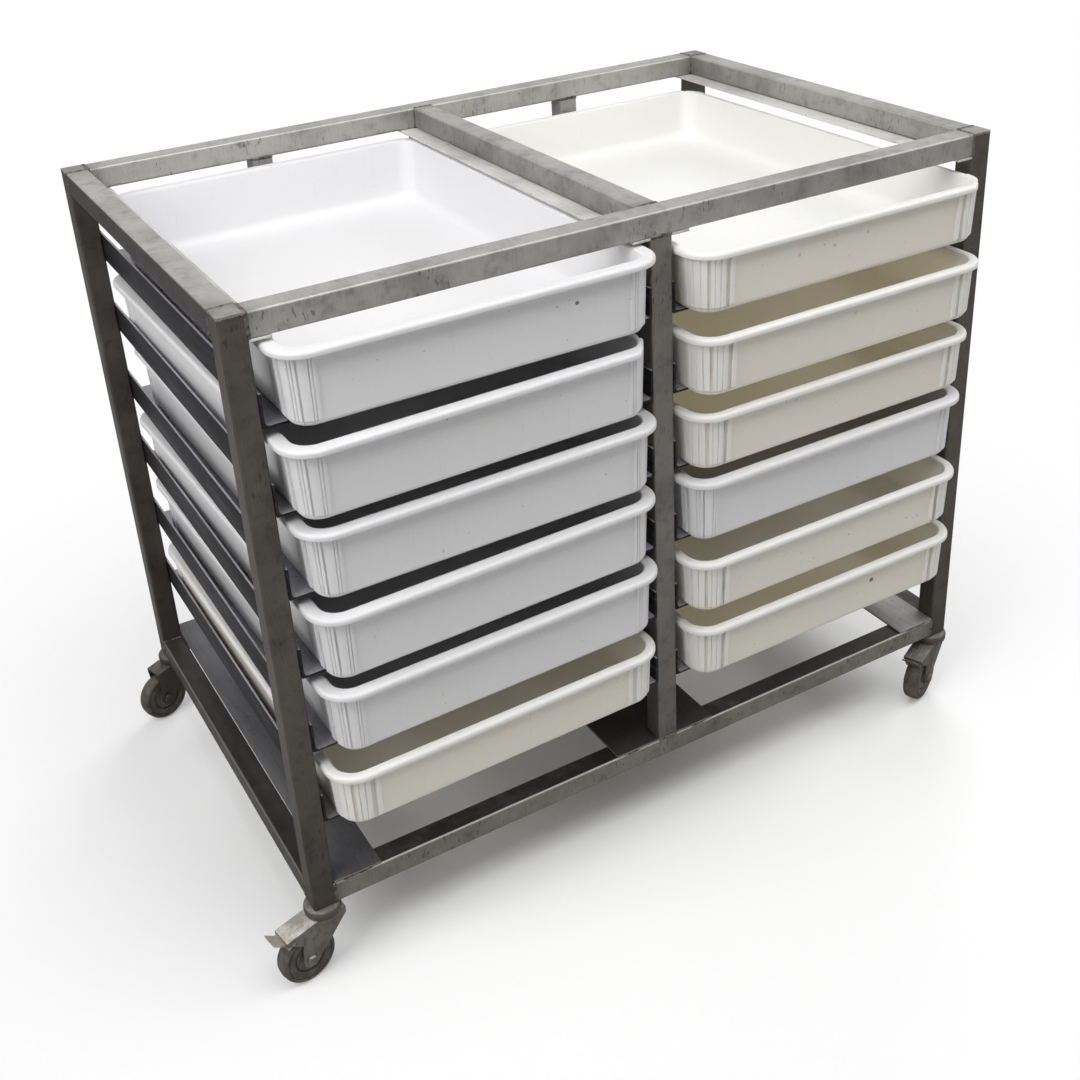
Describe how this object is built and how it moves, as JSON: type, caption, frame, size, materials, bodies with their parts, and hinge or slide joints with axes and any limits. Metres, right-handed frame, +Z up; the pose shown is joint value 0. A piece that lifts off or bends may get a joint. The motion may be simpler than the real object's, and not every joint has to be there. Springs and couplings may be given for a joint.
{
  "type": "tray trolley",
  "caption": "Welded steel tube trolley on swivel casters, with two bays of stacked plastic trays that slide on angle runners.",
  "frame": {"origin": "on the floor under the middle of the tube frame", "axes": "+X across the two bays to the right, +Y from the open front to the rear stops, +Z up"},
  "size_m": [1.1149, 0.7171, 0.888],
  "materials": {
    "frame_steel": "worn, scratched mild steel tube with ground welds",
    "white_plastic": "smooth moulded plastic, satin",
    "cream_plastic": "smooth moulded plastic, yellowed, satin",
    "zinc_plate": "dull zinc plate",
    "grey_nylon": "dull moulded hub",
    "grey_rubber": "dusty solid rubber"
  },
  "bodies": {
    "frame": {"post_front_left": "frame_steel", "post_front_right": "frame_steel", "post_rear_left": "frame_steel", "post_rear_right": "frame_steel", "post_centre_front": "frame_steel", "post_centre_rear": "frame_steel", "rear_stop_bars": "frame_steel", "rail_top_front": "frame_steel", "rail_top_rear": "frame_steel", "rail_top_left": "frame_steel", "rail_top_right": "frame_steel", "rail_top_centre": "frame_steel", "rail_base_front": "frame_steel", "rail_base_rear": "frame_steel", "rail_base_left": "frame_steel", "rail_base_right": "frame_steel", "base_plate_left": "frame_steel", "base_plate_centre": "frame_steel", "base_plate_right": "frame_steel", "runners_left_outer": "frame_steel", "runners_left_inner": "frame_steel", "runners_right_inner": "frame_steel", "runners_right_outer": "frame_steel", "tray_keepers": "frame_steel", "post_caps": "frame_steel", "stem_plugs": "frame_steel", "caster_front_left_stem": "zinc_plate", "caster_front_right_stem": "zinc_plate", "caster_rear_left_stem": "zinc_plate", "caster_rear_right_stem": "zinc_plate"},
    "tray_left_1": {"tray_left_1": "white_plastic"},
    "tray_left_2": {"tray_left_2": "white_plastic"},
    "tray_left_3": {"tray_left_3": "white_plastic"},
    "tray_left_4": {"tray_left_4": "white_plastic"},
    "tray_left_5": {"tray_left_5": "white_plastic"},
    "tray_left_6": {"tray_left_6": "cream_plastic"},
    "tray_right_1": {"tray_right_1": "cream_plastic"},
    "tray_right_2": {"tray_right_2": "cream_plastic"},
    "tray_right_3": {"tray_right_3": "cream_plastic"},
    "tray_right_4": {"tray_right_4": "white_plastic"},
    "tray_right_5": {"tray_right_5": "cream_plastic"},
    "tray_right_6": {"tray_right_6": "cream_plastic"},
    "caster_front_left_swivel": {"caster_front_left_fork": "zinc_plate", "caster_front_left_axle": "zinc_plate"},
    "caster_front_left_wheel": {"caster_front_left_hub": "grey_nylon", "caster_front_left_tyre": "grey_rubber"},
    "caster_front_left_pedal": {"caster_front_left_pedal": "zinc_plate"},
    "caster_front_right_swivel": {"caster_front_right_fork": "zinc_plate", "caster_front_right_axle": "zinc_plate"},
    "caster_front_right_wheel": {"caster_front_right_hub": "grey_nylon", "caster_front_right_tyre": "grey_rubber"},
    "caster_front_right_pedal": {"caster_front_right_pedal": "zinc_plate"},
    "caster_rear_left_swivel": {"caster_rear_left_fork": "zinc_plate", "caster_rear_left_axle": "zinc_plate"},
    "caster_rear_left_wheel": {"caster_rear_left_hub": "grey_nylon", "caster_rear_left_tyre": "grey_rubber"},
    "caster_rear_right_swivel": {"caster_rear_right_fork": "zinc_plate", "caster_rear_right_axle": "zinc_plate"},
    "caster_rear_right_wheel": {"caster_rear_right_hub": "grey_nylon", "caster_rear_right_tyre": "grey_rubber"}
  },
  "joints": [
    {"name": "tray_left_1_slide", "type": "slide", "parent": "frame", "child": "tray_left_1", "axis": [0, -1, 0], "range_m": [-0.0075, 0.4]},
    {"name": "tray_left_2_slide", "type": "slide", "parent": "frame", "child": "tray_left_2", "axis": [0.0189, -0.9998, 0], "range_m": [-0.0103, 0.4]},
    {"name": "tray_left_3_slide", "type": "slide", "parent": "frame", "child": "tray_left_3", "axis": [0.0106, -0.9999, 0], "range_m": [-0.0033, 0.4]},
    {"name": "tray_left_4_slide", "type": "slide", "parent": "frame", "child": "tray_left_4", "axis": [0.0303, -0.9995, 0], "range_m": [-0.0033, 0.4]},
    {"name": "tray_left_5_slide", "type": "slide", "parent": "frame", "child": "tray_left_5", "axis": [0.0235, -0.9997, 0], "range_m": [-0.0013, 0.4]},
    {"name": "tray_left_6_slide", "type": "slide", "parent": "frame", "child": "tray_left_6", "axis": [0.0167, -0.9999, 0], "range_m": [0, 0.4]},
    {"name": "tray_right_1_slide", "type": "slide", "parent": "frame", "child": "tray_right_1", "axis": [0, -1, 0], "range_m": [-0.0085, 0.4]},
    {"name": "tray_right_2_slide", "type": "slide", "parent": "frame", "child": "tray_right_2", "axis": [0, -1, 0], "range_m": [-0.0135, 0.4]},
    {"name": "tray_right_3_slide", "type": "slide", "parent": "frame", "child": "tray_right_3", "axis": [0, -1, 0], "range_m": [-0.0035, 0.4]},
    {"name": "tray_right_4_slide", "type": "slide", "parent": "frame", "child": "tray_right_4", "axis": [0, -1, 0], "range_m": [-0.0025, 0.4]},
    {"name": "tray_right_5_slide", "type": "slide", "parent": "frame", "child": "tray_right_5", "axis": [0, -1, 0], "range_m": [-0.0045, 0.4]},
    {"name": "tray_right_6_slide", "type": "slide", "parent": "frame", "child": "tray_right_6", "axis": [0, -1, 0], "range_m": [-0.0005, 0.4]},
    {"name": "caster_front_left_swivel_turn", "type": "hinge", "parent": "frame", "child": "caster_front_left_swivel", "pos_m": [-0.505, -0.31, 0.09], "axis": [0, 0, 1], "continuous": true},
    {"name": "caster_front_left_wheel_spin", "type": "hinge", "parent": "caster_front_left_swivel", "child": "caster_front_left_wheel", "pos_m": [-0.53651, -0.31556, 0.0375], "axis": [0.1736, -0.9848, 0], "continuous": true},
    {"name": "caster_front_left_pedal_press", "type": "hinge", "parent": "caster_front_left_swivel", "child": "caster_front_left_pedal", "pos_m": [-0.55621, -0.31903, 0.078], "axis": [0.1736, -0.9848, 0], "range_deg": [0, 12]},
    {"name": "caster_front_right_swivel_turn", "type": "hinge", "parent": "frame", "child": "caster_front_right_swivel", "pos_m": [0.505, -0.31, 0.09], "axis": [0, 0, 1], "continuous": true},
    {"name": "caster_front_right_wheel_spin", "type": "hinge", "parent": "caster_front_right_swivel", "child": "caster_front_right_wheel", "pos_m": [0.47554, -0.3225, 0.0375], "axis": [0.3907, -0.9205, 0], "continuous": true},
    {"name": "caster_front_right_pedal_press", "type": "hinge", "parent": "caster_front_right_swivel", "child": "caster_front_right_pedal", "pos_m": [0.45713, -0.33032, 0.078], "axis": [0.3907, -0.9205, 0], "range_deg": [0, 12]},
    {"name": "caster_rear_left_swivel_turn", "type": "hinge", "parent": "frame", "child": "caster_rear_left_swivel", "pos_m": [-0.505, 0.31, 0.09], "axis": [0, 0, 1], "continuous": true},
    {"name": "caster_rear_left_wheel_spin", "type": "hinge", "parent": "caster_rear_left_swivel", "child": "caster_rear_left_wheel", "pos_m": [-0.53543, 0.30011, 0.0375], "axis": [0.309, -0.9511, 0], "continuous": true},
    {"name": "caster_rear_right_swivel_turn", "type": "hinge", "parent": "frame", "child": "caster_rear_right_swivel", "pos_m": [0.505, 0.31, 0.09], "axis": [0, 0, 1], "continuous": true},
    {"name": "caster_rear_right_wheel_spin", "type": "hinge", "parent": "caster_rear_right_swivel", "child": "caster_rear_right_wheel", "pos_m": [0.48122, 0.28859, 0.0375], "axis": [0.6691, -0.7431, 0], "continuous": true}
  ]
}
